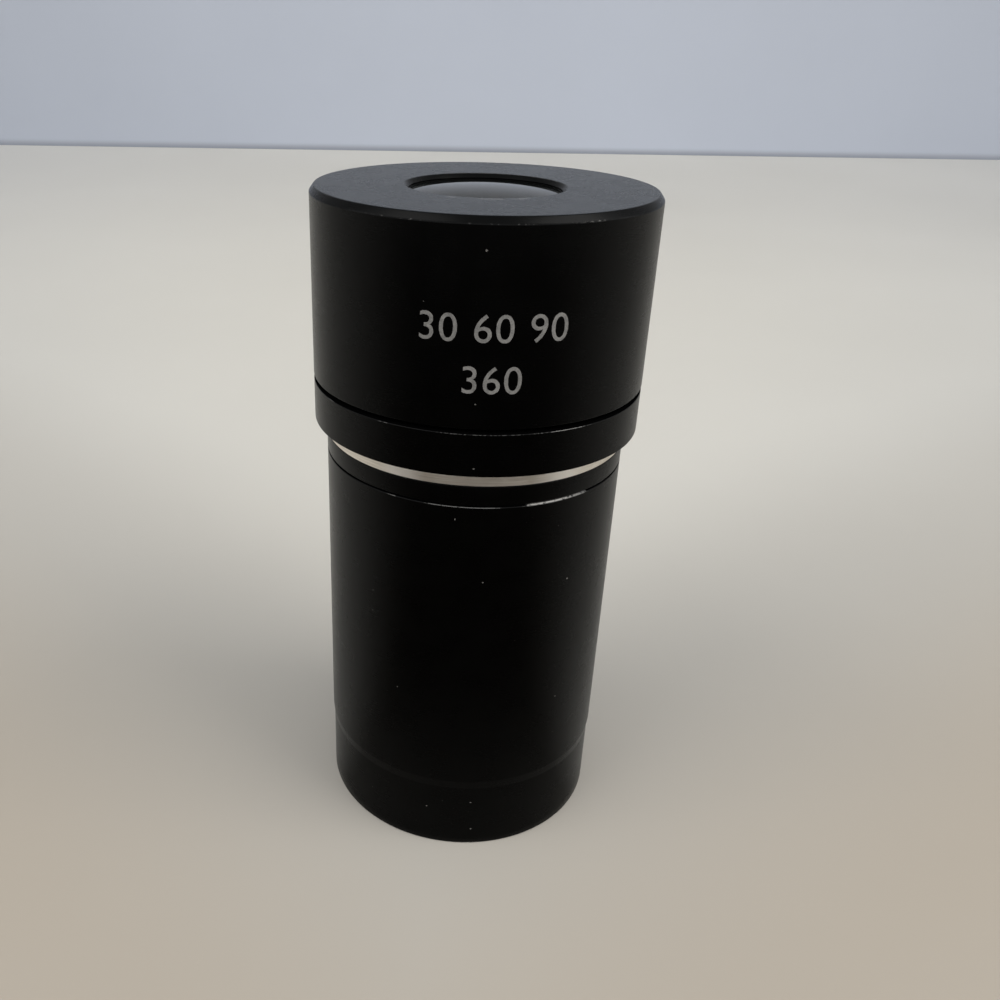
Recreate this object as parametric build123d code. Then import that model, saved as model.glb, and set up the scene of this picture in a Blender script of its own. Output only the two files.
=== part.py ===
from build123d import *

import math
import os

# Photo eyepiece, in millimetres. The origin is on the optical axis at the foot's lower face, with +Z
# up the axis to the eye lens. Every piece is turned, so its half section is given as radius and height.
# The sleeve sets the diameters: walls, ledges and gaps step out from it to the head and in from it to
# the lenses. A ring's or cell's ledge is the step between its lens pocket and its thread.

# Outside stack, from the foot up
sleeve_diameter = 30.0
sleeve_length = 41.15
sleeve_wall = 1.55
sleeve_top_chamfer = 0.2
pilot_height = 7.75
pilot_relief = 0.12
pilot_taper_height = 1.0
pilot_edge_break = 0.12
collar_height = 1.95
collar_edge_break = 0.08
band_height = 1.45
band_recess = 0.3
shoulder_height = 4.15
shoulder_inset = 0.02
shoulder_chamfer = 0.2
shadow_gap = 0.3
head_height = 17.7
head_overhang = 1.2

# Lip inside the sleeve's foot
lip_height = 2.6
lip_width = 2.25
mouth_chamfer = 0.6
thread_end_gap = 0.5

# Head cover
head_chamfer_width = 0.42
head_chamfer_height = 0.58
head_edge_break = 0.1
head_wall = 2.2
head_skirt = 0.75
head_top_wall = 1.5
aperture_chamfer = 0.4
aperture_edge = 0.05
aperture_ledge = 0.15

# Inner barrel
barrel_wall = 1.6
barrel_end_chamfer = 0.3
flange_thickness = 1.8
neck_thread_length = 4.5
neck_relief = 0.65
neck_wall = 3.56

# Eye lens doublet, cell and ring
eye_flint_thickness = 1.2
eye_crown_edge = 2.05
eye_outer_curve = 55.0
eye_cement_curve = 16.0
eye_inner_curve = 24.0
eye_seat_width = 0.65
eye_ledge = 1.19
eye_ring_lip = 0.07
eye_ring_depth = 1.1
eye_ring_top_gap = 0.03
eye_ring_bevel_fall = 0.06
eye_cell_wall = 0.96
eye_cell_step = 0.56
eye_cell_top_gap = 0.1
eye_cell_side_gap = 0.5
eye_cell_skirt = 4.05
eye_cell_thread_length = 3.5
eye_flange_thickness = 1.5
eye_flange_setback = 1.1

# Middle lens, cell and ring
middle_lens_thickness = 1.8
middle_lens_curve = 30.0
middle_lens_land = 0.5
middle_seat_width = 0.8
middle_seat_drop = 2.2
middle_mouth_flare = 1.8
middle_cell_wall = 4.01
middle_ledge = 1.19
middle_ring_height = 1.2
middle_ring_recess = 0.6

# Field stop, baffle tube and spacer
stop_thickness = 0.6
stop_edge = 0.1
stop_width = 5.45
baffle_wall = 3.75
groove_land = 0.4
groove_pitch = 1.6
groove_depth = 0.55
spacer_length = 14.4
spacer_wall = 1.3

# Field lens doublet, cell and ring
field_crown_edge = 0.8
field_flint_thickness = 1.3
field_outer_curve = 32.0
field_cement_curve = 24.0
field_lower_curve = 60.0
field_lens_land = 0.4
field_seat_width = 0.8
field_seat_drop = 1.7
field_cell_wall = 1.31
field_ledge = 0.89
field_ring_height = 1.1
field_ring_recess = 0.8

# Spanner slots, fits and small edges
slot_width = 1.4
slot_depth = 0.6
slide_clearance = 0.05
thread_clearance = 0.04
lens_clearance = 0.05
lens_bevel = 0.12
seat_lip = 0.35

# Radii from the sleeve out to the head and in to the tube that carries the lower lenses
sleeve_radius = sleeve_diameter / 2
sleeve_bore = sleeve_radius - sleeve_wall
head_radius = sleeve_radius + head_overhang
head_bore = head_radius - head_wall
skirt_bore = head_radius - head_skirt
flange_radius = skirt_bore - slide_clearance
barrel_radius = sleeve_bore - slide_clearance
barrel_bore = barrel_radius - barrel_wall
stack_radius = barrel_bore - slide_clearance
neck_radius = head_bore - thread_clearance
neck_bore = neck_radius - neck_wall

# Radii of the eye lens group, from the neck in to the aperture
eye_spigot_radius = neck_bore - thread_clearance
eye_cell_radius = eye_spigot_radius - eye_cell_step
eye_thread = eye_cell_radius - eye_cell_wall
eye_pocket = eye_thread - eye_ledge
eye_lens_radius = eye_pocket - lens_clearance
eye_clear = eye_lens_radius - eye_seat_width
aperture_radius = eye_clear + aperture_ledge

# Radii of the middle and field lens groups
middle_thread = stack_radius - middle_cell_wall
middle_pocket = middle_thread - middle_ledge
middle_lens_radius = middle_pocket - lens_clearance
middle_clear = middle_lens_radius - middle_seat_width
field_thread = stack_radius - field_cell_wall
field_pocket = field_thread - field_ledge
field_lens_radius = field_pocket - lens_clearance
field_clear = field_lens_radius - field_seat_width


def sag(radius, curve):
    """How far a ball of the curve's radius falls back from its top at a radius."""
    return curve - math.sqrt(curve**2 - radius**2)


# Heights of the outside stack
collar_z = sleeve_length
band_z = collar_z + collar_height
shoulder_z = band_z + band_height
flange_z = shoulder_z + shoulder_height
flange_top_z = flange_z + flange_thickness
head_z = flange_z + shadow_gap
top_z = head_z + head_height
lip_z = top_z - aperture_chamfer - aperture_edge

# Heights of the eye lens group, down from the aperture's lip
eye_ring_top = lip_z - eye_ring_top_gap
eye_ring_z = eye_ring_top - eye_ring_depth
eye_ring_lip_z = eye_ring_top - eye_ring_lip
eye_crown_thickness = (
    eye_crown_edge + sag(eye_lens_radius, eye_cement_curve) + sag(eye_lens_radius, eye_inner_curve)
)
eye_top = eye_ring_lip_z + sag(eye_clear, eye_outer_curve)
eye_joint = eye_top - eye_flint_thickness
eye_bottom = eye_joint - eye_crown_thickness
eye_seat_z = eye_bottom + sag(eye_clear, eye_inner_curve)
spigot_z = eye_seat_z - eye_cell_skirt
neck_top_z = spigot_z + eye_cell_thread_length

# Heights of the middle lens group, down from the flange
middle_seat_z = flange_z - middle_seat_drop
middle_dish = sag(middle_lens_radius - middle_lens_land, middle_lens_curve)
middle_top = middle_seat_z - middle_dish
middle_bottom = middle_top - middle_lens_thickness
middle_ring_top = middle_bottom - middle_dish
middle_ring_z = middle_ring_top - middle_ring_height
middle_cell_z = middle_ring_z - middle_ring_recess

# Heights of the field lens group, up from the barrel's lower end, and of the stop above it
barrel_z = lip_height + thread_end_gap
field_ring_z = barrel_z + field_ring_recess
field_rim_z = field_ring_z + field_ring_height
field_crown_thickness = (
    field_crown_edge + sag(field_lens_radius, field_cement_curve) + sag(field_lens_radius, field_outer_curve)
)
field_bottom = field_rim_z + sag(field_lens_radius - field_lens_land, field_lower_curve)
field_joint = field_bottom + field_flint_thickness
field_top = field_joint + field_crown_thickness
field_seat_z = field_top - sag(field_clear, field_outer_curve)
field_cell_top_z = field_seat_z + field_seat_drop
stop_z = field_cell_top_z + spacer_length
baffle_z = stop_z + stop_thickness


def turned(*corners):
    """A ring or tube turned about the axis, from its half section's corners as (radius, height)."""
    outline = Polyline(*[(radius, 0, height) for radius, height in corners], close=True)
    return revolve(make_face(outline), Axis.Z)


def grooved_bore(radius, low, high):
    """The corners of a bore from low to high, cut with sharp grooves that send stray light back."""
    count = int((high - low - 2 * groove_land) / groove_pitch)
    first = (low + high - count * groove_pitch) / 2
    corners = [(radius, low), (radius, first)]
    for groove in range(count):
        start = first + groove * groove_pitch
        corners.append((radius + groove_depth, start + groove_pitch / 2))
        corners.append((radius, start + groove_pitch))
    return corners + [(radius, high)]


def glass_blank(radius, low, high):
    return Pos(0, 0, (low + high) / 2) * Cylinder(radius, high - low)


def ball(top, curve):
    """The ball that a lens face is ground to. Its poles lie to the sides, clear of the faces."""
    return Pos(0, 0, top - curve) * Rot(90, 0, 0) * Sphere(curve)


def bowl(bottom, curve):
    """The same ball, placed by its lowest point."""
    return ball(bottom + 2 * curve, curve)


def bevelled(lens, edge):
    """The sharp rim at the top, edge -1, or at the bottom, edge 0, is ground off."""
    return chamfer(lens.edges().filter_by(GeomType.CIRCLE).sort_by(Axis.Z)[edge], lens_bevel)


def spanner_slots(inner, outer, face):
    """Two slots for a pin spanner, sunk in the end face of a ring at that height."""
    slot = Pos(outer, 0, face) * Box(2 * outer, slot_width, 2 * slot_depth)
    core = Pos(0, 0, face) * Cylinder(inner, 4 * slot_depth)
    return (slot + Rot(0, 0, 180) * slot) - core


def head_cover():
    """Screwed on the barrel's neck, down to the flange. Its skirt ends the shadow gap's width above."""
    rim = head_radius - head_chamfer_width
    lens_bore = eye_cell_radius + eye_cell_side_gap
    return turned(
        (aperture_radius, lip_z),
        (aperture_radius, top_z - aperture_chamfer),
        (aperture_radius + aperture_chamfer, top_z),
        (rim, top_z),
        (head_radius, top_z - head_chamfer_height),
        (head_radius, head_z + head_edge_break),
        (head_radius - head_edge_break, head_z),
        (skirt_bore, head_z),
        (skirt_bore, flange_top_z),
        (head_bore, flange_top_z),
        (head_bore, top_z - head_top_wall),
        (lens_bore, top_z - head_top_wall),
        (lens_bore, lip_z),
    )


def shoulder_ring():
    """Its underside seats on the photo tube's rim. The bright ring's top is let into a recess there."""
    radius = head_radius - shoulder_inset
    recess = sleeve_radius + slide_clearance
    return turned(
        (sleeve_bore, shoulder_z + band_recess),
        (recess, shoulder_z + band_recess),
        (recess, shoulder_z),
        (radius, shoulder_z),
        (radius, flange_z - shoulder_chamfer),
        (radius - shoulder_chamfer, flange_z),
        (sleeve_bore, flange_z),
    )


def bright_spacer_ring():
    return turned(
        (sleeve_bore, band_z),
        (sleeve_radius, band_z),
        (sleeve_radius, shoulder_z),
        (sleeve_radius - band_recess, shoulder_z + band_recess),
        (sleeve_bore, shoulder_z + band_recess),
    )


def collar_ring():
    return turned(
        (sleeve_bore, collar_z),
        (sleeve_radius - collar_edge_break, collar_z),
        (sleeve_radius, collar_z + collar_edge_break),
        (sleeve_radius, band_z - collar_edge_break),
        (sleeve_radius - collar_edge_break, band_z),
        (sleeve_bore, band_z),
    )


def outer_sleeve():
    """One turned tube with a pilot at its foot. Screwed on the barrel, it clamps the rings above it."""
    pilot = sleeve_radius - pilot_relief
    mouth = sleeve_bore - lip_width
    return turned(
        (mouth, mouth_chamfer),
        (mouth + mouth_chamfer, 0),
        (pilot - pilot_edge_break, 0),
        (pilot, pilot_edge_break),
        (pilot, pilot_height),
        (sleeve_radius, pilot_height + pilot_taper_height),
        (sleeve_radius, collar_z - sleeve_top_chamfer),
        (sleeve_radius - sleeve_top_chamfer, collar_z),
        (sleeve_bore, collar_z),
        (sleeve_bore, lip_height),
        (mouth, lip_height),
    )


def inner_barrel():
    """The tube that all else is fixed to, with a flange and a threaded neck for the head cover."""
    relief_z = flange_top_z + neck_thread_length
    relief_radius = neck_radius - neck_relief
    return turned(
        (barrel_bore + barrel_end_chamfer, barrel_z),
        (barrel_radius - barrel_end_chamfer, barrel_z),
        (barrel_radius, barrel_z + barrel_end_chamfer),
        (barrel_radius, flange_z),
        (flange_radius, flange_z),
        (flange_radius, flange_top_z),
        (neck_radius, flange_top_z),
        (neck_radius, relief_z),
        (relief_radius, relief_z + neck_relief),
        (relief_radius, neck_top_z),
        (neck_bore, neck_top_z),
        (neck_bore, flange_z),
        (barrel_bore, flange_z),
        (barrel_bore, barrel_z + barrel_end_chamfer),
    )


def eye_lens_flint():
    glass = glass_blank(eye_lens_radius, eye_bottom, top_z) & ball(eye_top, eye_outer_curve)
    return bevelled(glass - ball(eye_joint, eye_cement_curve), -1)


def eye_lens_crown():
    glass = glass_blank(eye_lens_radius, spigot_z, eye_top) & ball(eye_joint, eye_cement_curve)
    return bevelled(glass & bowl(eye_bottom, eye_inner_curve), 0)


def eye_lens_cell():
    """It hangs from its flange on the barrel's neck, screwed in by its skirt. Its seat carries the lens."""
    cell_top = lip_z - eye_cell_top_gap
    flange = neck_radius - eye_flange_setback
    flange_top = neck_top_z + eye_flange_thickness
    thread_end = eye_ring_z - eye_ring_depth / 2
    cell = turned(
        (eye_spigot_radius, spigot_z),
        (eye_spigot_radius, neck_top_z),
        (flange, neck_top_z),
        (flange, flange_top),
        (eye_cell_radius, flange_top),
        (eye_cell_radius, cell_top),
        (eye_thread, cell_top),
        (eye_thread, thread_end),
        (eye_pocket, thread_end),
        (eye_pocket, eye_seat_z),
        *reversed(grooved_bore(eye_clear, spigot_z, eye_seat_z)),
    )
    return cell - spanner_slots(eye_cell_radius, flange, flange_top)


def eye_lens_retaining_ring():
    """Its inner lip rests on the lens's outer face, with a bevel under the lip to clear the dome."""
    outer = eye_thread - thread_clearance
    pocket = eye_pocket + lens_clearance
    ring = turned(
        (eye_clear, eye_ring_lip_z),
        (eye_clear, eye_ring_top),
        (outer, eye_ring_top),
        (outer, eye_ring_z),
        (pocket, eye_ring_z),
        (pocket, eye_ring_lip_z - eye_ring_bevel_fall),
    )
    return ring - spanner_slots(pocket, outer, eye_ring_top)


def middle_lens():
    """It hangs under its cell's seat, its flat ground rims against the seat and the ring."""
    glass = glass_blank(middle_lens_radius, middle_ring_top, middle_seat_z)
    return glass - bowl(middle_top, middle_lens_curve) - ball(middle_bottom, middle_lens_curve)


def middle_lens_cell():
    return turned(
        (middle_clear, middle_seat_z),
        (middle_clear, middle_seat_z + seat_lip),
        (middle_clear + middle_mouth_flare, flange_z),
        (stack_radius, flange_z),
        (stack_radius, middle_cell_z),
        (middle_thread, middle_cell_z),
        (middle_thread, middle_ring_top),
        (middle_pocket, middle_ring_top),
        (middle_pocket, middle_seat_z),
    )


def middle_lens_retaining_ring():
    outer = middle_thread - thread_clearance
    ring = turned(
        (middle_clear, middle_ring_z),
        (middle_clear, middle_ring_top),
        (outer, middle_ring_top),
        (outer, middle_ring_z),
    )
    return ring - spanner_slots(middle_clear, outer, middle_ring_z)


def baffle_tube():
    return turned(
        (stack_radius, middle_cell_z),
        (stack_radius, baffle_z),
        *grooved_bore(stack_radius - baffle_wall, baffle_z, middle_cell_z),
    )


def field_stop():
    """A thin diaphragm whose hole is bevelled to a knife edge on its lower face."""
    hole = stack_radius - stop_width
    bevel = stop_thickness - stop_edge
    return turned(
        (hole + bevel, stop_z),
        (stack_radius, stop_z),
        (stack_radius, baffle_z),
        (hole, baffle_z),
        (hole, baffle_z - stop_edge),
    )


def spacer_tube():
    return turned(
        (stack_radius - spacer_wall, field_cell_top_z),
        (stack_radius, field_cell_top_z),
        (stack_radius, stop_z),
        (stack_radius - spacer_wall, stop_z),
    )


def field_lens_crown():
    """The upper half of the field doublet, which hangs under its cell's seat."""
    glass = glass_blank(field_lens_radius, field_bottom, stop_z) & ball(field_top, field_outer_curve)
    return bevelled(glass & bowl(field_joint, field_cement_curve), -1)


def field_lens_flint():
    glass = glass_blank(field_lens_radius, field_rim_z, field_top)
    return glass - bowl(field_joint, field_cement_curve) - ball(field_bottom, field_lower_curve)


def field_lens_cell():
    """Screwed into the barrel's lower end, it clamps the spacer, stop, baffle and middle cell."""
    cell = turned(
        (field_clear, field_seat_z),
        (field_clear, field_seat_z + seat_lip),
        (stack_radius - spacer_wall, field_cell_top_z),
        (stack_radius, field_cell_top_z),
        (stack_radius, barrel_z),
        (field_thread, barrel_z),
        (field_thread, field_rim_z),
        (field_pocket, field_rim_z),
        (field_pocket, field_seat_z),
    )
    return cell - spanner_slots(field_thread, stack_radius, barrel_z)


def field_lens_retaining_ring():
    outer = field_thread - thread_clearance
    ring = turned(
        (field_clear, field_ring_z),
        (field_clear, field_rim_z),
        (outer, field_rim_z),
        (outer, field_ring_z),
    )
    return ring - spanner_slots(field_clear, outer, field_ring_z)


pieces = {
    "head_cover": head_cover(),
    "eye_lens_retaining_ring": eye_lens_retaining_ring(),
    "eye_lens_flint": eye_lens_flint(),
    "eye_lens_crown": eye_lens_crown(),
    "eye_lens_cell": eye_lens_cell(),
    "inner_barrel": inner_barrel(),
    "shoulder_ring": shoulder_ring(),
    "bright_spacer_ring": bright_spacer_ring(),
    "collar_ring": collar_ring(),
    "outer_sleeve": outer_sleeve(),
    "middle_lens": middle_lens(),
    "middle_lens_retaining_ring": middle_lens_retaining_ring(),
    "middle_lens_cell": middle_lens_cell(),
    "baffle_tube": baffle_tube(),
    "field_stop": field_stop(),
    "spacer_tube": spacer_tube(),
    "field_lens_crown": field_lens_crown(),
    "field_lens_flint": field_lens_flint(),
    "field_lens_cell": field_lens_cell(),
    "field_lens_retaining_ring": field_lens_retaining_ring(),
}

os.makedirs("parts", exist_ok=True)
for name, piece in pieces.items():
    export_step(piece, f"parts/{name}.step")
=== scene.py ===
import math

import bmesh
import bpy
from mathutils import Matrix, Vector, noise


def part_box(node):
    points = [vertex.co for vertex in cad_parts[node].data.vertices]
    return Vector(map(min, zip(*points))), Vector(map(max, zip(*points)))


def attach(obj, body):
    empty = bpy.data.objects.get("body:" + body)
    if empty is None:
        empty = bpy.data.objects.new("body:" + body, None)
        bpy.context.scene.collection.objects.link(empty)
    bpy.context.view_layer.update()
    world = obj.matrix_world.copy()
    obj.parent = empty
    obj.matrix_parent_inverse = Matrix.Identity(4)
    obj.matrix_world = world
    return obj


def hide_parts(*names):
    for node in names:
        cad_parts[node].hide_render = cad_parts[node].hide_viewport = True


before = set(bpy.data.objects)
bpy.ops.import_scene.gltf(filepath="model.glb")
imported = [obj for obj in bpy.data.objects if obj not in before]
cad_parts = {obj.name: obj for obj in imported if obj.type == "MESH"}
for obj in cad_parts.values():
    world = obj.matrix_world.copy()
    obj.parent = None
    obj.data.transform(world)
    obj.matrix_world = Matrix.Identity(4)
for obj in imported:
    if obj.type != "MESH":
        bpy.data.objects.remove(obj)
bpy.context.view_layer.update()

MM = 0.001
BODY = "root"

# The photograph's camera: 1000 pixels square, its axis off the picture's middle because it is a crop
PICTURE = 1000
AXIS_AT = (414.5208, 502.2752)
FOCAL_PIXELS = 965.6908
CAMERA_BACK = 92.6787 * MM
CAMERA_UP = 80.0728 * MM
YAW, PITCH, ROLL = (math.radians(angle) for angle in (-3.6769, 26.5147, 1.1528))
SENSOR = 36.0
CLIP_START, CLIP_END = 0.005, 10

# The table's far edge meets the wall along the line through these two floor points
WALL_LEFT = Vector((-0.3273, 0.5743, 0))
WALL_RIGHT = Vector((0.3583, 0.6475, 0))
STAGE_REACH, WALL_HEIGHT = 3, 2.5

# The table is darker and warmer near the camera than beyond the object, as painted shade, paler beyond it
# as a painted sheen, and greyer at the sides and far off.
# The edge tone comes in with the slant, which is how far aside a point is for how far ahead.
TABLE_NEAR, TABLE_MIDDLE, TABLE_FAR = (-0.06, 0.005), (-0.008, 0.068), (0.16, 0.5)
TABLE_NEAR_TONE, TABLE_MIDDLE_TONE = (0.52, 0.46, 0.385), (0.565, 0.538, 0.492)
TABLE_FAR_TONE, TABLE_EDGE_TONE = (0.74, 0.714, 0.655), (0.6, 0.592, 0.578)
TABLE_CENTRE, TABLE_SPREAD = -0.003, 0.7
TABLE_EDGE, SLANT_START, SLANT_LEAST = (0.1, 0.65), 0.12, 0.1

# The wall is bluish where the camera sees it, with painted shade that makes it greyer and darker above, a
# little darker to the sides, and dark in the joint at its foot
WALL_TONE, WALL_TOP_TONE = (0.455, 0.483, 0.55), (0.285, 0.292, 0.308)
WALL_MIDDLE, WALL_SIDES, SIDE_SHADE = 0.02, (0.05, 0.45), 0.86
WALL_RISE = (0.1, 0.34)
WALL_JOINT, JOINT_SHADE = (0.0, 0.005), 0.66

# The MAT is a dark sheet that only gloss sees, round the foot: a painted reflection, black in front as
# painted shade, and as pale as the table at the sides, paler to the left than to the right
MAT_HEIGHT, MAT_INNER, MAT_OUTER, MAT_SIDES = 0.2 * MM, 15.2 * MM, 1.2, 64
MAT_DARK_TURN, MAT_PALE_TURN = math.radians(36), math.radians(92)
MAT_DARK_TONE = (0.05, 0.039, 0.0275)
MAT_NEAR, MAT_PALE_REACH, MAT_DARK_REACH = 0.45, 16 * MM, 48 * MM
MAT_LEFT, MAT_RIGHT, MAT_TURN = 0.85, 0.7, 0.06

# The room is brighter low down than overhead
SKY_COLOUR = (0.97, 0.99, 1.0, 1)
SKY_RISE, SKY_LOW, SKY_HIGH = (0.15, 0.95), 1.39, 0.6

# Two soft square lamps, each with its place and its power
LAMP_SIZE, LAMP_COLOUR = 1.2, (1.0, 0.98, 0.95)
LAMPS = {"soft_right": ((1.32, -0.5, 1.36), 12.5), "soft_left": ((-1.2, -0.8, 1.6), 7.8)}

# Turned pieces and lenses. A point of a CAD mesh this near to y 0, in metres, is a corner of the half
# section, and is rounded to this many digits.
SEGMENTS, ARC_STEPS = 384, 4
LENS_SEGMENTS, LENS_RINGS = 192, 24
SECTION_NEAR, SECTION_DIGITS = 1e-7, 7

# A lens's materials in order: its glass, its cemented face, and its blackened side
LENS_GLASS, LENS_JOINT, LENS_SIDE = range(3)

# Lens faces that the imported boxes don't give, and the flat land ground round the field lens's lower face
EYE_OUTER_CURVE, EYE_INNER_CURVE = 55 * MM, 24 * MM
FIELD_UPPER_CURVE, FIELD_LOWER_CURVE, FIELD_LAND = 32 * MM, 60 * MM, 0.4 * MM

# How far an edge is worn, on a scale that also lays painted highlights: LIGHT not at all, CHIPPED in dull
# chips, the next rubbed half bare and also used for painted highlights, and BARE all of it. Metal comes in as
# the wear and the chips' noise add up to between these two.
LIGHT, CHIPPED, RUBBED_AND_HIGHLIT, BARE = 0.3, 0.56, 0.68, 0.85
METAL_SHOWS = (1.12, 1.2)

# Where marks lie, in mm in from a piece's side and down from its top: a seam's chamfer with what it
# hides, which gets painted shade, and the head's top chamfer. A point between the side and the top is
# OFF_FACE or more from both. The head's aperture, which gets painted shade, and the rim round it are given
# by their radius.
SEAM_IN, SEAM_DOWN = 0.03, 0.4
CHAMFER_IN, CHAMFER_DOWN = 0.2, 1.5
OFF_FACE = 0.01
APERTURE_RADIUS, APERTURE_DOWN = 7.6, 0.3
RIM_RADIUS, RIM_DOWN = 9, 0.2

# Most of a noise's values lie between these two
NOISE_LOW, NOISE_HIGH = 0.3, 0.7

# Dust: loose specks with uneven outlines, and a film on faces that look up, which is partly dust and partly
# a painted bluish sheen. Pale patches along the front of the aperture's rim are a painted highlight. The
# patches come in over RIM_INNER and go over RIM_OUTER, in mm of radius, and fade over RIM_REACH, in radians
# to both sides of RIM_FRONT.
DUST, SPECK_WARP_SCALE, SPECK_WARP = (0.1248, 0.12, 0.11328, 1), 6.0, 0.16
FILM_AND_SHEEN, RIM_HIGHLIGHT_TINT, FILM_FACING = (0.026, 0.03, 0.036, 1), (0.15, 0.15, 0.15, 1), (0.8, 1.0)
RIM_INNER, RIM_OUTER, RIM_FRONT, RIM_REACH = (7.8, 7.95), (8.15, 8.4), math.radians(-88), (0.35, 0.5)

# The share of light that the glass doesn't pass looks nearly black. The cement passes nearly all.
GLASS_TINT = (0.01, 0.012, 0.012, 1)
CEMENT_TINT = (0.995, 1, 0.995, 1)

# Numbers on the head, as plain as on a dial, with edges that are a little frayed. A numeral's height is
# NUMBER_SHARE of its font's size, and the rows are cut every NUMBER_CUT to bend them round the head.
NUMBER_ROWS = (("30 60 90", 57.9 * MM), ("360", 53.5 * MM))
NUMBER_HEIGHT, NUMBER_RELIEF, NUMBER_ANGLE = 2.5 * MM, 0.006 * MM, math.radians(4.5)
NUMBER_SHARE, NUMBER_SPACING, NUMBER_THINNING = 0.73, 1.06, 0.004 * MM
NUMBER_CUT, NUMBER_WELD = 0.12 * MM, 0.001 * MM
FRAY, FRAY_SCALE, FRAY_SHIFT = 0.02 * MM, 4000, Vector((7, 3, 1))


def node(tree, kind, inputs=(), **settings):
    """A shader node with its settings. A socket in inputs is linked, and any other value is set."""
    made = tree.nodes.new(kind)
    for name, value in settings.items():
        setattr(made, name, value)
    for socket, value in dict(inputs).items():
        feed(tree, made.inputs[socket], value)
    return made


def feed(tree, socket, value):
    if isinstance(value, bpy.types.NodeSocket):
        tree.links.new(value, socket)
    else:
        socket.default_value = value


def maths(tree, operation, a, b=0.0):
    return node(tree, "ShaderNodeMath", {0: a, 1: b}, operation=operation).outputs[0]


def ramp(tree, value, low, high, dark=0.0, bright=1.0):
    """value from low to high becomes dark to bright, and stays there outside."""
    inputs = {"Value": value, "From Min": low, "From Max": high, "To Min": dark, "To Max": bright}
    return node(tree, "ShaderNodeMapRange", inputs).outputs[0]


def spread(tree, pattern, dark=0.0, bright=1.0):
    """A noise's values, from dark to bright."""
    return ramp(tree, pattern, NOISE_LOW, NOISE_HIGH, dark, bright)


def smooth(tree, value, low, high):
    """0 below low, 1 above high, and a smooth rise between."""
    inputs = {"Value": value, "From Min": low, "From Max": high}
    return node(tree, "ShaderNodeMapRange", inputs, interpolation_type="SMOOTHSTEP").outputs[0]


def blend(tree, share, a, b):
    """Colour a where share is 0, and b where it is 1."""
    mix = node(tree, "ShaderNodeMix", data_type="RGBA")
    values = {"Factor": share, "A": a, "B": b}
    for socket in mix.inputs:
        if socket.enabled and socket.name in values:
            feed(tree, socket, values[socket.name])
    return next(socket for socket in mix.outputs if socket.enabled)


def grey(level, warmth=0.0):
    """A colour near grey. Warmth above 0 leans to yellow, and below 0 to blue."""
    return (level * (1 + warmth), level, level * (1 - 1.4 * warmth), 1)


def shade(tone, share=1.0):
    """A tone as a colour, with only this share of its light."""
    return (*(share * part for part in tone), 1)


def material(name, **sockets):
    """A new material, its tree and its Principled shader, with the sockets that are the same all over."""
    made = bpy.data.materials.new(name)
    made.use_nodes = True
    shader = made.node_tree.nodes["Principled BSDF"]
    for socket, value in sockets.items():
        shader.inputs[socket.replace("_", " ")].default_value = value
    return made, made.node_tree, shader


def plain_place(tree):
    return node(tree, "ShaderNodeTexCoord").outputs["Object"]


def place_in_mm(tree):
    scaled = node(tree, "ShaderNodeVectorMath", {0: plain_place(tree), "Scale": 1 / MM}, operation="SCALE")
    return scaled.outputs[0]


def turned_place(tree):
    """The shaded point in mm, and its radius, angle and height about the axis."""
    place = place_in_mm(tree)
    split = node(tree, "ShaderNodeSeparateXYZ", {0: place})
    flat = node(tree, "ShaderNodeCombineXYZ", {0: split.outputs[0], 1: split.outputs[1]}).outputs[0]
    radius = node(tree, "ShaderNodeVectorMath", {0: flat}, operation="LENGTH").outputs["Value"]
    angle = maths(tree, "ARCTAN2", split.outputs[1], split.outputs[0])
    return place, radius, angle, split.outputs[2]


def speckle(tree, place, scale, detail=2.0, roughness=0.5):
    inputs = {"Vector": place, "Scale": scale, "Detail": detail, "Roughness": roughness}
    return node(tree, "ShaderNodeTexNoise", inputs).outputs[0]


def tool_marks(tree, radius, angle, height, per_mm, drift):
    """Fine rings left by the cutting tool: a noise that runs long round the axis."""
    across = maths(tree, "MULTIPLY", radius, per_mm)
    along = maths(tree, "MULTIPLY", angle, drift)
    up = maths(tree, "MULTIPLY", height, per_mm)
    place = node(tree, "ShaderNodeCombineXYZ", {0: across, 1: along, 2: up}).outputs[0]
    return speckle(tree, place, scale=1.0, detail=3.0, roughness=0.65)


def dust(tree, place, spacing, size, share):
    """1 on small uneven specks of dust, of which only a share of the cells has one. Sizes are in mm."""
    warp = node(tree, "ShaderNodeTexNoise", {"Vector": place, "Scale": SPECK_WARP_SCALE}).outputs["Color"]
    moved = node(tree, "ShaderNodeVectorMath", {0: warp, "Scale": SPECK_WARP}, operation="SCALE").outputs[0]
    uneven = node(tree, "ShaderNodeVectorMath", {0: place, 1: moved}).outputs[0]
    cells = node(tree, "ShaderNodeTexVoronoi", {"Vector": uneven, "Scale": 1 / spacing})
    pick = node(tree, "ShaderNodeSeparateXYZ", {0: cells.outputs["Color"]})
    reach = maths(tree, "MULTIPLY", pick.outputs[1], size / spacing)
    near = maths(tree, "LESS_THAN", cells.outputs["Distance"], reach)
    chosen = maths(tree, "LESS_THAN", pick.outputs[0], share)
    return maths(tree, "MULTIPLY", near, chosen)


def wear_and_highlight_of(tree):
    return node(tree, "ShaderNodeAttribute", attribute_name="wear_and_highlight").outputs["Fac"]


def bumped(tree, shader, height, distance, strength):
    bump = node(tree, "ShaderNodeBump", {"Height": height, "Distance": distance, "Strength": strength})
    tree.links.new(bump.outputs[0], shader.inputs["Normal"])


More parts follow.
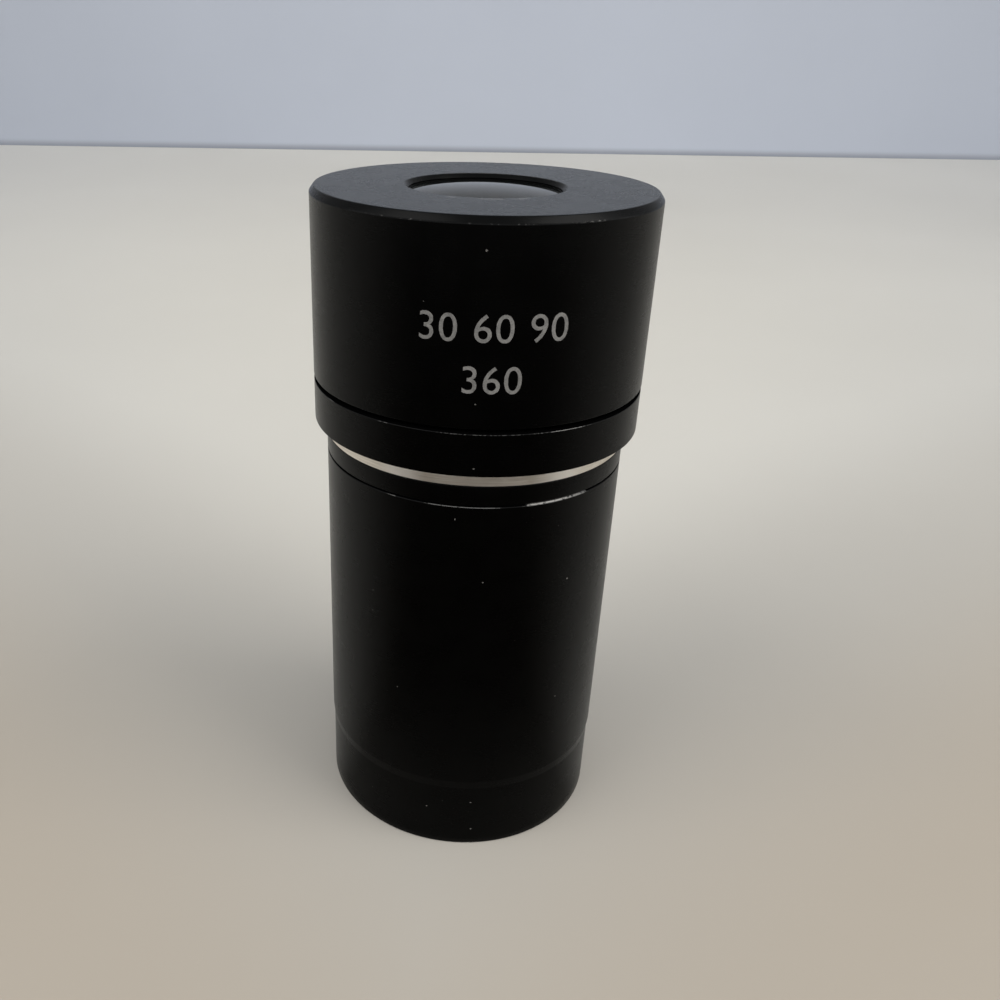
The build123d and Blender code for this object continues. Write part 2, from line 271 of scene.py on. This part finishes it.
def rim_highlight_patches(tree, place, radius, angle):
    """1 in patches of painted highlight along the front of the aperture's rim."""
    ring = maths(tree, "SUBTRACT", smooth(tree, radius, *RIM_INNER), smooth(tree, radius, *RIM_OUTER))
    aside = maths(tree, "ABSOLUTE", maths(tree, "SUBTRACT", angle, RIM_FRONT))
    front = maths(tree, "SUBTRACT", 1.0, smooth(tree, aside, *RIM_REACH))
    patch = ramp(tree, speckle(tree, place, scale=0.8), 0.4, 0.55)
    return maths(tree, "MULTIPLY", maths(tree, "MULTIPLY", ring, front), patch)


def film_and_sheen(tree, tint, cloud, place, radius, angle):
    """The tint with the film on faces that look up, partly settled dust and partly a painted sheen, and the
    rim's painted highlight.
    """
    normal = node(tree, "ShaderNodeNewGeometry").outputs["Normal"]
    facing = node(tree, "ShaderNodeSeparateXYZ", {0: normal}).outputs[2]
    share = maths(tree, "MULTIPLY", ramp(tree, facing, *FILM_FACING), spread(tree, cloud, 0.9, 1.1))
    return blend(tree, rim_highlight_patches(tree, place, radius, angle), blend(tree, share, tint, FILM_AND_SHEEN), RIM_HIGHLIGHT_TINT)


def anodised(name, level, warmth, roughness, specular, bare):
    """Black anodised metal: satin, finely turned, with dust whose film on faces that look up is partly a
    painted sheen, and edges worn to bare metal, on which painted highlights are laid as wear too.
    """
    dark, pale = grey(level * 0.75, warmth), grey(level * 1.3, warmth)
    chipped, bright_metal = grey(bare * 0.3, 0.03), grey(bare, 0.03)
    made, tree, shader = material(name, Specular_IOR_Level=specular)
    place, radius, angle, height = turned_place(tree)
    marks = tool_marks(tree, radius, angle, height, per_mm=14.0, drift=1.2)
    cloud = speckle(tree, place, scale=0.35, detail=3.0)
    grain = speckle(tree, place, scale=22.0)
    chips_and_glints = speckle(tree, place, scale=3.2, detail=4.0, roughness=0.7)
    specks = dust(tree, place, spacing=1.6, size=0.1, share=0.35)
    wear_and_highlight = wear_and_highlight_of(tree)
    # Metal shows in worn chips and in the painted highlights that the marks lay on as wear
    worn = ramp(tree, maths(tree, "ADD", wear_and_highlight, chips_and_glints), *METAL_SHOWS)
    black = blend(tree, spread(tree, cloud), dark, pale)
    dust_and_sheen = blend(tree, specks, film_and_sheen(tree, black, cloud, place, radius, angle), DUST)
    metal = blend(tree, ramp(tree, wear_and_highlight, CHIPPED, BARE), chipped, bright_metal)
    tree.links.new(blend(tree, worn, dust_and_sheen, metal), shader.inputs["Base Color"])
    tree.links.new(worn, shader.inputs["Metallic"])
    satin = spread(tree, cloud, roughness - 0.015, roughness + 0.015)
    brushed = maths(tree, "ADD", satin, spread(tree, marks, -0.006, 0.006))
    tree.links.new(brushed, shader.inputs["Roughness"])
    relief = maths(tree, "ADD", marks, maths(tree, "MULTIPLY", grain, 0.2))
    bumped(tree, shader, maths(tree, "SUBTRACT", relief, worn), distance=0.004 * MM, strength=0.09)
    return made


def bright_turned():
    """Bare turned metal, brushed round the axis by the tool, a little stained, and paler in the band's painted
    highlights.
    """
    dull, clean, stain, painted_highlight = grey(0.62, 0.1), grey(0.86, 0.07), grey(0.6, 0.11), grey(0.95, 0.05)
    made, tree, shader = material("bright_turned", Metallic=0.88)
    place, radius, angle, height = turned_place(tree)
    marks = tool_marks(tree, radius, angle, height, per_mm=9.0, drift=2.5)
    fine = tool_marks(tree, radius, angle, height, per_mm=26.0, drift=6.0)
    cloud = speckle(tree, place, scale=0.5, detail=3.0)
    lines = maths(tree, "ADD", maths(tree, "MULTIPLY", marks, 0.6), maths(tree, "MULTIPLY", fine, 0.4))
    tint = blend(tree, ramp(tree, lines, 0.35, 0.65), dull, clean)
    stained = blend(tree, ramp(tree, cloud, 0.55, 0.8), tint, stain)
    bright_metal = blend(tree, ramp(tree, wear_and_highlight_of(tree), LIGHT, 1.0), stained, painted_highlight)
    tree.links.new(bright_metal, shader.inputs["Base Color"])
    tree.links.new(spread(tree, lines, 0.32, 0.5), shader.inputs["Roughness"])
    bumped(tree, shader, lines, distance=0.006 * MM, strength=0.7)
    return made


def inner_black(name, level, roughness, gloss=0.06):
    """Matt black inside surface with coarser turning, as cells, stops and baffles have."""
    dark, pale = grey(level * 0.7), grey(level * 1.3)
    made, tree, shader = material(name, Specular_IOR_Level=gloss)
    place, radius, angle, height = turned_place(tree)
    marks = tool_marks(tree, radius, angle, height, per_mm=6.0, drift=1.0)
    cloud = speckle(tree, place, scale=0.8, detail=3.0)
    tree.links.new(blend(tree, cloud, dark, pale), shader.inputs["Base Color"])
    tree.links.new(spread(tree, cloud, roughness - 0.06, roughness + 0.06), shader.inputs["Roughness"])
    bumped(tree, shader, marks, distance=0.01 * MM, strength=0.6)
    return made


def glass(name, ior):
    """Clear lens glass, with the faint smears and dust of a used lens."""
    made, tree, shader = material(name, Transmission_Weight=0.55, IOR=ior, Base_Color=GLASS_TINT)
    place = place_in_mm(tree)
    smear = speckle(tree, place, scale=0.45, detail=4.0, roughness=0.6)
    specks = dust(tree, place, spacing=1.6, size=0.09, share=0.1)
    in_painted_shade = maths(tree, "MULTIPLY", specks, 0.5)
    dull = maths(tree, "ADD", ramp(tree, smear, 0.5, 0.75, 0.015, 0.06), in_painted_shade)
    tree.links.new(dull, shader.inputs["Roughness"])
    return made


def cement():
    """The joint inside a doublet, which light passes as if the glass were one."""
    made = bpy.data.materials.new("lens_cement")
    made.use_nodes = True
    tree = made.node_tree
    tree.nodes.clear()
    clear = node(tree, "ShaderNodeBsdfTransparent", {"Color": CEMENT_TINT})
    node(tree, "ShaderNodeOutputMaterial", {"Surface": clear.outputs[0]})
    return made


def number_paint():
    """Warm grey marking, a little patchy where it has worn."""
    faded, fresh = grey(0.11, 0.02), grey(0.21, 0.03)
    made, tree, shader = material("number_marking", Specular_IOR_Level=0.25)
    place = place_in_mm(tree)
    grain = speckle(tree, place, scale=9.0, detail=4.0, roughness=0.7)
    patch = speckle(tree, place, scale=1.5)
    worn = maths(tree, "ADD", maths(tree, "MULTIPLY", grain, 0.6), maths(tree, "MULTIPLY", patch, 0.4))
    tint = blend(tree, ramp(tree, worn, 0.35, 0.62), faded, fresh)
    tree.links.new(tint, shader.inputs["Base Color"])
    tree.links.new(spread(tree, grain, 0.55, 0.8), shader.inputs["Roughness"])
    bumped(tree, shader, grain, distance=0.01 * MM, strength=0.6)
    return made


def plain_stage(name, paint, gloss=0.2):
    """A plain matt surface with a faint mottle, in the colours that paint gives for each place."""
    made, tree, shader = material(name, Specular_IOR_Level=gloss)
    place = plain_place(tree)
    cloud = speckle(tree, place, scale=9.0, detail=5.0, roughness=0.55)
    fine = speckle(tree, place, scale=900.0)
    mottle = blend(tree, spread(tree, cloud), grey(0.97), grey(1.0))
    tint = node(tree, "ShaderNodeVectorMath", {0: paint(tree, place), 1: mottle}, operation="MULTIPLY")
    tree.links.new(tint.outputs[0], shader.inputs["Base Color"])
    tree.links.new(spread(tree, cloud, 0.5, 0.62), shader.inputs["Roughness"])
    bumped(tree, shader, fine, distance=0.02 * MM, strength=0.3)
    return made


def table_paint(tree, place):
    """Painted shade in the near tone in front, then the middle tone, then a painted sheen in the far tone,
    which fades to the edge tone.
    """
    split = node(tree, "ShaderNodeSeparateXYZ", {0: place})
    depth = split.outputs[1]
    aside = maths(tree, "ABSOLUTE", maths(tree, "SUBTRACT", split.outputs[0], TABLE_CENTRE))
    ahead = maths(tree, "SUBTRACT", depth, maths(tree, "MULTIPLY", aside, TABLE_SPREAD))
    reach = maths(tree, "MAXIMUM", maths(tree, "ADD", depth, SLANT_START), SLANT_LEAST)
    slant = maths(tree, "DIVIDE", aside, reach)
    outer = maths(tree, "ADD", smooth(tree, slant, *TABLE_EDGE), smooth(tree, depth, *TABLE_FAR))
    half_outer = maths(tree, "MULTIPLY", outer, 0.5)
    far = blend(tree, half_outer, shade(TABLE_FAR_TONE), shade(TABLE_EDGE_TONE))
    front = blend(tree, smooth(tree, ahead, *TABLE_NEAR), shade(TABLE_NEAR_TONE), shade(TABLE_MIDDLE_TONE))
    return blend(tree, smooth(tree, ahead, *TABLE_MIDDLE), front, far)


def wall_paint(tree, place):
    """Painted shade: a little darker to both sides, darker and greyer above the picture, and dark in the joint
    below.
    """
    split = node(tree, "ShaderNodeSeparateXYZ", {0: place})
    rise = split.outputs[2]
    aside = maths(tree, "ABSOLUTE", maths(tree, "SUBTRACT", split.outputs[0], WALL_MIDDLE))
    seen = blend(tree, smooth(tree, aside, *WALL_SIDES), shade(WALL_TONE), shade(WALL_TONE, SIDE_SHADE))
    whole = blend(tree, smooth(tree, rise, *WALL_RISE), seen, shade(WALL_TOP_TONE))
    joint = shade(WALL_TONE, JOINT_SHADE * SIDE_SHADE)
    return blend(tree, smooth(tree, rise, *WALL_JOINT), joint, whole)


def reflection_sheet_paint(tree, place):
    """A painted reflection: pale where a point of the sheet is far round from the front, and partly so where
    it is near the foot, and dark as painted shade elsewhere.
    """
    split = node(tree, "ShaderNodeSeparateXYZ", {0: place})
    ahead = maths(tree, "MULTIPLY", split.outputs[1], -1)
    turn = maths(tree, "ABSOLUTE", maths(tree, "ARCTAN2", split.outputs[0], ahead))
    reach = node(tree, "ShaderNodeVectorMath", {0: place}, operation="LENGTH").outputs["Value"]
    far = smooth(tree, reach, MAT_PALE_REACH, MAT_DARK_REACH)
    near = maths(tree, "MULTIPLY", maths(tree, "SUBTRACT", 1.0, far), MAT_NEAR)
    share = maths(tree, "MAXIMUM", smooth(tree, turn, MAT_DARK_TURN, MAT_PALE_TURN), near)
    side = smooth(tree, split.outputs[0], -MAT_TURN, MAT_TURN)
    pale = blend(tree, side, shade(TABLE_FAR_TONE, MAT_LEFT), shade(TABLE_FAR_TONE, MAT_RIGHT))
    return blend(tree, share, shade(MAT_DARK_TONE), pale)


MATERIALS = {
    "head": anodised("black_anodised", level=0.0003, warmth=0.0, roughness=0.27, specular=0.1, bare=0.17),
    "sleeve": anodised("black_sleeve", level=0.0005, warmth=0.04, roughness=0.28, specular=0.11, bare=0.17),
    "bright": bright_turned(),
    "inside": inner_black("inner_black", level=0.003, roughness=0.6),
    "ring": inner_black("ring_black", level=0.003, roughness=0.45),
    # Painted shade: black with no gloss, for the seams' chamfers and the head's aperture
    "painted_shade": inner_black("seam_painted_shade", level=0.001, roughness=0.8, gloss=0.0),
    "coated": glass("coated_glass", ior=1.33),
    "crown": glass("crown_glass", ior=1.56),
    "cement": cement(),
    "numbers": number_paint(),
}

# The CAD nodes that stay, with the material each takes
KEPT_NODES = {
    "inner_barrel": "inside",
    "eye_lens_cell": "ring",
    "eye_lens_retaining_ring": "ring",
    "middle_lens_cell": "inside",
    "middle_lens_retaining_ring": "ring",
    "middle_lens": "crown",
    "baffle_tube": "inside",
    "field_stop": "inside",
    "spacer_tube": "inside",
    "field_lens_cell": "inside",
    "field_lens_retaining_ring": "ring",
}


def dress_nodes():
    for name, key in KEPT_NODES.items():
        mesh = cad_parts[name].data
        mesh.materials.clear()
        mesh.materials.append(MATERIALS[key])


def placed(name, mesh, *keys):
    """An object of the mesh, with the materials that the keys name."""
    for key in keys:
        mesh.materials.append(MATERIALS[key])
    piece = bpy.data.objects.new(name, mesh)
    bpy.context.scene.collection.objects.link(piece)
    return piece


def stand_for(piece, node_name):
    """The piece rides on the body in place of a CAD node."""
    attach(piece, BODY)
    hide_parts(node_name)


def half_section(name):
    """The corners of a turned CAD node, in order, as (radius, height), from its mesh where y is 0."""
    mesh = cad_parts[name].data
    places = {}
    for vertex in mesh.vertices:
        if abs(vertex.co.y) < SECTION_NEAR and vertex.co.x > 0:
            places[vertex.index] = tuple(round(part, SECTION_DIGITS) for part in vertex.co.xz)
    joined = {}
    for edge in mesh.edges:
        a, b = (places.get(index) for index in edge.vertices)
        if a and b and a != b:
            joined.setdefault(a, set()).add(b)
            joined.setdefault(b, set()).add(a)
    corner = min(joined)
    loop = [corner]
    while len(loop) < len(joined):
        corner = next(near for near in sorted(joined[corner]) if near not in loop)
        loop.append(corner)
    return loop


def eased(corners, ease):
    """The closed outline with its corners rounded by small arcs: each point, and whether it is on an arc."""
    outline = []
    count = len(corners)
    for index in range(count):
        before, here, after = (Vector(corners[(index + step) % count]) for step in (-1, 0, 1))
        into, out = here - before, after - here
        reach = min(ease, into.length / 3, out.length / 3)
        start, end = here - into.normalized() * reach, here + out.normalized() * reach
        for step in range(ARC_STEPS + 1):
            share = step / ARC_STEPS
            point = start.lerp(here, share).lerp(here.lerp(end, share), share)
            outline.append((point, step not in (0, ARC_STEPS)))
    return outline


def turned_rings(build, outline, marks):
    """The outline's points at each turn, with their wear and painted highlights, and the set of points that
    get painted shade.
    """
    wear_and_highlight = build.verts.layers.float.new("wear_and_highlight")
    rings, in_painted_shade = [], set()
    for segment in range(SEGMENTS):
        angle = 2 * math.pi * segment / SEGMENTS
        turn = math.degrees(angle if angle < math.pi else angle - 2 * math.pi)
        ring = []
        for point, on_edge in outline:
            vertex = build.verts.new((point.x * math.sin(angle), -point.x * math.cos(angle), point.y))
            vertex[wear_and_highlight], gets_painted_shade = marks(point.x / MM, point.y / MM, turn, on_edge)
            if gets_painted_shade:
                in_painted_shade.add(vertex)
            ring.append(vertex)
        rings.append(ring)
    return rings, in_painted_shade


def lathe(name, node_name, ease, key, marks):
    """A turned piece in place of a CAD node, with rounded edges. A face whose points all get painted shade
    gets it too.
    """
    outline = eased(half_section(node_name), ease)
    build = bmesh.new()
    rings, in_painted_shade = turned_rings(build, outline, marks)
    for here, there in zip(rings, rings[1:] + rings[:1]):
        for index in range(len(outline)):
            following = (index + 1) % len(outline)
            face = build.faces.new((here[index], here[following], there[following], there[index]))
            face.material_index = int(in_painted_shade.issuperset(face.verts))
    bmesh.ops.recalc_face_normals(build, faces=build.faces)
    mesh = bpy.data.meshes.new(name)
    build.to_mesh(mesh)
    build.free()
    mesh.shade_smooth()
    piece = placed(name, mesh, *([key, "painted_shade"] if in_painted_shade else [key]))
    piece.modifiers.new("even_light", "WEIGHTED_NORMAL").keep_sharp = True
    stand_for(piece, node_name)


def within(turn, low, high, wear_and_highlight, fade=4):
    """The given wear, which can be a painted highlight, where turn is between low and high, easing to LIGHT
    over fade degrees at each end.
    """
    inside = min(turn - low, high - turn) / fade
    return LIGHT + (wear_and_highlight - LIGHT) * min(1.0, max(0.0, inside))


def size_of(name):
    """A turned node's outer radius and top, in mm."""
    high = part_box(name)[1]
    return high.x / MM, high.z / MM


HEAD_RADIUS, HEAD_TOP = size_of("head_cover")
SHOULDER_RADIUS, SHOULDER_TOP = size_of("shoulder_ring")
SLEEVE_RADIUS, SLEEVE_TOP = size_of("outer_sleeve")

# Each function of marks below gives a point's wear, which also lays painted highlights, and whether it gets
# painted shade, from its radius and height in mm, its turn in degrees from the front to the right, and
# whether it lies on an eased edge


def in_seam(radius, height, outer, top):
    """A seam's chamfer and what lies inside it get painted shade, in black."""
    return radius < outer - SEAM_IN and height > top - SEAM_DOWN


def head_marks(radius, height, turn, on_edge):
    """The head is rubbed at the front of the aperture's rim and has a painted highlight round its back, is
    chipped below the top chamfer, and has painted shade in its aperture.
    """
    wear_and_highlight = 0.0
    if on_edge and radius < RIM_RADIUS and height > HEAD_TOP - RIM_DOWN:
        # The arc round the back of the rim, from 112 to 226 degrees, is a painted highlight laid on as wear.
        wear_and_highlight = max(within(turn, -35, 20, RUBBED_AND_HIGHLIT), within(turn % 360, 112, 226, RUBBED_AND_HIGHLIT))
    elif on_edge and radius > HEAD_RADIUS - CHAMFER_IN and height > HEAD_TOP - CHAMFER_DOWN:
        wear_and_highlight = max(within(turn, -55, 24, 0.55), within(turn, 20, 42, 0.6))
    return wear_and_highlight, radius < APERTURE_RADIUS and height < HEAD_TOP - APERTURE_DOWN


def shoulder_marks(radius, height, turn, on_edge):
    """The shoulder's upper edge is rubbed bright in front, partly worn and partly a painted highlight, and
    nicked at two places on its left.
    """
    wear_and_highlight = 0.0
    if on_edge and height > SHOULDER_TOP - SEAM_DOWN:
        nicks = max(within(turn, -60, -51, BARE), within(turn, -34, -25, RUBBED_AND_HIGHLIT))
        wear_and_highlight = max(nicks, within(turn, -14, 26, 0.64), within(turn, 18, 44, 0.78, fade=8))
    return wear_and_highlight, in_seam(radius, height, SHOULDER_RADIUS, SHOULDER_TOP)


def band_marks(radius, height, turn, on_edge):
    """The bright ring has a painted highlight in a patch on each side of its front."""
    return max(within(turn, -34, -16, 1.0, fade=6), within(turn, 22, 44, 1.0, fade=9)), False


def collar_marks(radius, height, turn, on_edge):
    """The collar has neither wear nor painted shade."""
    return 0.0, False


def sleeve_marks(radius, height, turn, on_edge):
    """The sleeve's top edge has lost its black in a patch in front and in a strip to its right; the strip and
    a thin patch at the front's left are painted highlights laid on as wear.
    """
    if height < SLEEVE_TOP - SEAM_DOWN:
        return 0.0, False
    in_painted_shade = in_seam(radius, height, SLEEVE_RADIUS, SLEEVE_TOP)
    strip = within(turn, 14, 51, 0.76, fade=7)
    if on_edge:
        chips_and_glints = max(within(turn, -34, -24, RUBBED_AND_HIGHLIT), within(turn, -19, 14, 0.72))
        return max(chips_and_glints, strip), in_painted_shade and strip < RUBBED_AND_HIGHLIT
    on_chamfer = radius < SLEEVE_RADIUS - OFF_FACE and height < SLEEVE_TOP - OFF_FACE
    if on_chamfer and strip > CHIPPED:
        return strip, in_painted_shade and strip < RUBBED_AND_HIGHLIT
    return 0.0, in_painted_shade


def sag(radius, curve):
    """How far a lens face falls back from its vertex at a radius. A curve below 0 rises."""
    return curve - math.copysign(math.sqrt(curve**2 - radius**2), curve)


def curve_of(depth, radius):
    """The curve of a face that is this deep at a radius."""
    return (radius**2 + depth**2) / (2 * depth)


def lens_face(build, radius, vertex, curve):
    """A lens face's points, as its middle one and its rings. A curve above 0 is centred below."""
    rings = []
    for step in range(1, LENS_RINGS + 1):
        out = radius * step / LENS_RINGS
        height = vertex - sag(out, curve)
        ring = []
        for segment in range(LENS_SEGMENTS):
            angle = 2 * math.pi * segment / LENS_SEGMENTS
            ring.append(build.verts.new((out * math.cos(angle), out * math.sin(angle), height)))
        rings.append(ring)
    return build.verts.new((0, 0, vertex)), rings


def lens_skin(build, centre, rings, index):
    """The faces between a lens face's points, in the material at that index."""
    for segment in range(LENS_SEGMENTS):
        following = (segment + 1) % LENS_SEGMENTS
        build.faces.new((centre, rings[0][segment], rings[0][following])).material_index = index
        for inner, outer in zip(rings, rings[1:]):
            corners = (inner[segment], outer[segment], outer[following], inner[following])
            build.faces.new(corners).material_index = index


def lens_side(build, top, low):
    """The faces round the side, between the outer rings of both lens faces."""
    for segment in range(LENS_SEGMENTS):
        following = (segment + 1) % LENS_SEGMENTS
        corners = (top[segment], low[segment], low[following], top[following])
        build.faces.new(corners).material_index = LENS_SIDE


def lens_half(name, node_name, upper, lower, key, cemented):
    """A lens turned from its two faces, each (vertex height, curve), of which one is cemented."""
    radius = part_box(node_name)[1].x
    build = bmesh.new()
    top_centre, top_rings = lens_face(build, radius, *upper)
    low_centre, low_rings = lens_face(build, radius, *lower)
    lens_skin(build, top_centre, top_rings, LENS_JOINT if cemented == "top" else LENS_GLASS)
    lens_skin(build, low_centre, low_rings, LENS_JOINT if cemented == "bottom" else LENS_GLASS)
    lens_side(build, top_rings[-1], low_rings[-1])
    bmesh.ops.recalc_face_normals(build, faces=build.faces)
    mesh = bpy.data.meshes.new(name)
    build.to_mesh(mesh)
    build.free()
    for polygon in mesh.polygons:
        polygon.use_smooth = polygon.material_index != LENS_SIDE
    stand_for(placed(name, mesh, key, "cement", "inside"), node_name)


def eye_doublet():
    """Both halves of the eye lens. The joint's curve is worked out from the halves' boxes."""
    flint_low, flint_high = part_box("eye_lens_flint")
    crown_low, crown_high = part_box("eye_lens_crown")
    joint = (crown_high.z, curve_of(crown_high.z - flint_low.z, flint_high.x))
    front, back = (flint_high.z, EYE_OUTER_CURVE), (crown_low.z, -EYE_INNER_CURVE)
    lens_half("eye_lens_front", "eye_lens_flint", front, joint, "coated", "bottom")
    lens_half("eye_lens_back", "eye_lens_crown", joint, back, "crown", "top")


def field_doublet():
    """Both halves of the field lens, cemented as the eye lens is."""
    flint_low, flint_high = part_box("field_lens_flint")
    crown_low, crown_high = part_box("field_lens_crown")
    joint = (crown_low.z, -curve_of(flint_high.z - crown_low.z, flint_high.x))
    lower_vertex = flint_low.z + sag(flint_high.x - FIELD_LAND, FIELD_LOWER_CURVE)
    top, bottom = (crown_high.z, FIELD_UPPER_CURVE), (lower_vertex, FIELD_LOWER_CURVE)
    lens_half("field_lens_upper", "field_lens_crown", top, joint, "crown", "bottom")
    lens_half("field_lens_lower", "field_lens_flint", joint, bottom, "coated", "top")


def flat_numbers(text):
    """A flat mesh of a centred row of numbers."""
    curve = bpy.data.curves.new("row", "FONT")
    curve.body = text
    curve.align_x = "CENTER"
    curve.size = NUMBER_HEIGHT / NUMBER_SHARE
    curve.space_character = NUMBER_SPACING
    curve.offset = -NUMBER_THINNING
    flat = bpy.data.objects.new("row", curve)
    mesh = bpy.data.meshes.new_from_object(flat)
    bpy.data.objects.remove(flat)
    return mesh


def cut_fine(build):
    """Cuts a row of numbers across and along, finely enough to bend."""
    reach = max(vertex.co.x for vertex in build.verts)
    steps = int(2 * reach / NUMBER_CUT)
    for line in (Vector((1, 0, 0)), Vector((0, 1, 0))):
        for step in range(steps):
            cut = line * (-reach + 2 * reach * step / steps)
            everything = build.verts[:] + build.edges[:] + build.faces[:]
            bmesh.ops.bisect_plane(build, geom=everything, plane_co=cut, plane_no=line)


def number_row(text, height):
    """A row of numbers laid round the head at a height, as a thin skin on its surface."""
    mesh = flat_numbers(text)
    build = bmesh.new()
    build.from_mesh(mesh)
    bmesh.ops.remove_doubles(build, verts=build.verts, dist=NUMBER_WELD)
    cut_fine(build)
    radius = HEAD_RADIUS * MM
    for vertex in build.verts:
        across, up = vertex.co.x, vertex.co.y
        if any(edge.is_boundary for edge in vertex.link_edges):
            across += FRAY * noise.noise(vertex.co * FRAY_SCALE)
            up += FRAY * noise.noise(vertex.co * FRAY_SCALE + FRAY_SHIFT)
        angle = NUMBER_ANGLE + across / radius
        out = radius + NUMBER_RELIEF
        vertex.co = (out * math.sin(angle), -out * math.cos(angle), height + up - NUMBER_HEIGHT / 2)
    build.normal_update()
    build.to_mesh(mesh)
    build.free()
    return mesh


def numbers():
    joined = bmesh.new()
    for text, height in NUMBER_ROWS:
        joined.from_mesh(number_row(text, height))
    mesh = bpy.data.meshes.new("head_numbers")
    joined.to_mesh(mesh)
    joined.free()
    mesh.shade_smooth()
    piece = placed("head_numbers", mesh, "numbers")
    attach(piece, BODY)


def staged(name, places, faces, paint):
    """A piece of the stage, in its own material."""
    mesh = bpy.data.meshes.new(name)
    mesh.from_pydata(places, [], faces)
    mesh.materials.append(paint)
    piece = bpy.data.objects.new(name, mesh)
    bpy.context.scene.collection.objects.link(piece)
    return piece


def table_and_wall():
    along = (WALL_RIGHT - WALL_LEFT).normalized()
    middle = (WALL_LEFT + WALL_RIGHT) / 2
    left, right = middle - along * STAGE_REACH, middle + along * STAGE_REACH
    up, near = Vector((0, 0, WALL_HEIGHT)), Vector((0, -STAGE_REACH, 0))
    corners = [(0, 1, 2, 3)]
    staged("table", [left + near, right + near, right, left], corners, plain_stage("table_top", table_paint))
    staged("wall", [left, right, right + up, left + up], corners, plain_stage("wall_paint", wall_paint))


# A sheet that only gloss sees, coloured as a painted reflection with painted shade in front
def painted_reflection_sheet():
    places = []
    for side in range(MAT_SIDES):
        turn = 2 * math.pi * side / MAT_SIDES
        for reach in (MAT_INNER, MAT_OUTER):
            places.append((reach * math.sin(turn), -reach * math.cos(turn), MAT_HEIGHT))
    count = len(places)
    faces = [(here, here + 1, (here + 3) % count, (here + 2) % count) for here in range(0, count, 2)]
    sheet = staged("painted_reflection_sheet", places, faces, plain_stage("painted_reflection", reflection_sheet_paint, gloss=0.0))
    sheet.visible_camera = sheet.visible_diffuse = sheet.visible_shadow = sheet.visible_transmission = False


def sky():
    world = bpy.data.worlds.new("soft_room")
    bpy.context.scene.world = world
    world.use_nodes = True
    tree = world.node_tree
    background = tree.nodes["Background"]
    background.inputs["Color"].default_value = SKY_COLOUR
    outward = node(tree, "ShaderNodeTexCoord").outputs["Generated"]
    rise = node(tree, "ShaderNodeSeparateXYZ", {0: outward}).outputs[2]
    tree.links.new(ramp(tree, rise, *SKY_RISE, SKY_LOW, SKY_HIGH), background.inputs["Strength"])


def lamp(name, place, power):
    """A soft square lamp that points at the foot."""
    light = bpy.data.lights.new(name, "AREA")
    light.shape = "RECTANGLE"
    light.size = light.size_y = LAMP_SIZE
    light.energy = power
    light.color = LAMP_COLOUR
    made = bpy.data.objects.new(name, light)
    made.location = place
    made.rotation_euler = (-Vector(place)).to_track_quat("-Z", "Y").to_euler()
    bpy.context.scene.collection.objects.link(made)


def camera():
    made = bpy.data.cameras.new("camera")
    made.sensor_width = SENSOR
    made.lens = FOCAL_PIXELS * SENSOR / PICTURE
    made.shift_x = (PICTURE / 2 - AXIS_AT[0]) / PICTURE
    made.shift_y = (AXIS_AT[1] - PICTURE / 2) / PICTURE
    made.clip_start, made.clip_end = CLIP_START, CLIP_END
    forward = Vector((math.sin(YAW) * math.cos(PITCH), math.cos(YAW) * math.cos(PITCH), -math.sin(PITCH)))
    level = Vector((math.cos(YAW), -math.sin(YAW), 0))
    upward = level.cross(forward)
    right = math.cos(ROLL) * level + math.sin(ROLL) * upward
    top = -math.sin(ROLL) * level + math.cos(ROLL) * upward
    turn = Matrix((right, top, -forward)).transposed()
    eye = bpy.data.objects.new("camera", made)
    eye.matrix_world = Matrix.Translation((0, -CAMERA_BACK, CAMERA_UP)) @ turn.to_4x4()
    bpy.context.scene.collection.objects.link(eye)
    bpy.context.scene.camera = eye


lathe("head_shell", "head_cover", 0.1 * MM, "head", head_marks)
lathe("shoulder", "shoulder_ring", 0.045 * MM, "head", shoulder_marks)
lathe("bright_band", "bright_spacer_ring", 0.04 * MM, "bright", band_marks)
lathe("collar", "collar_ring", 0.04 * MM, "sleeve", collar_marks)
lathe("sleeve", "outer_sleeve", 0.08 * MM, "sleeve", sleeve_marks)
eye_doublet()
field_doublet()
numbers()
dress_nodes()
table_and_wall()
painted_reflection_sheet()
sky()
for lamp_name, (lamp_place, lamp_power) in LAMPS.items():
    lamp(lamp_name, lamp_place, lamp_power)
camera()

bpy.context.scene.view_settings.view_transform = "Standard"
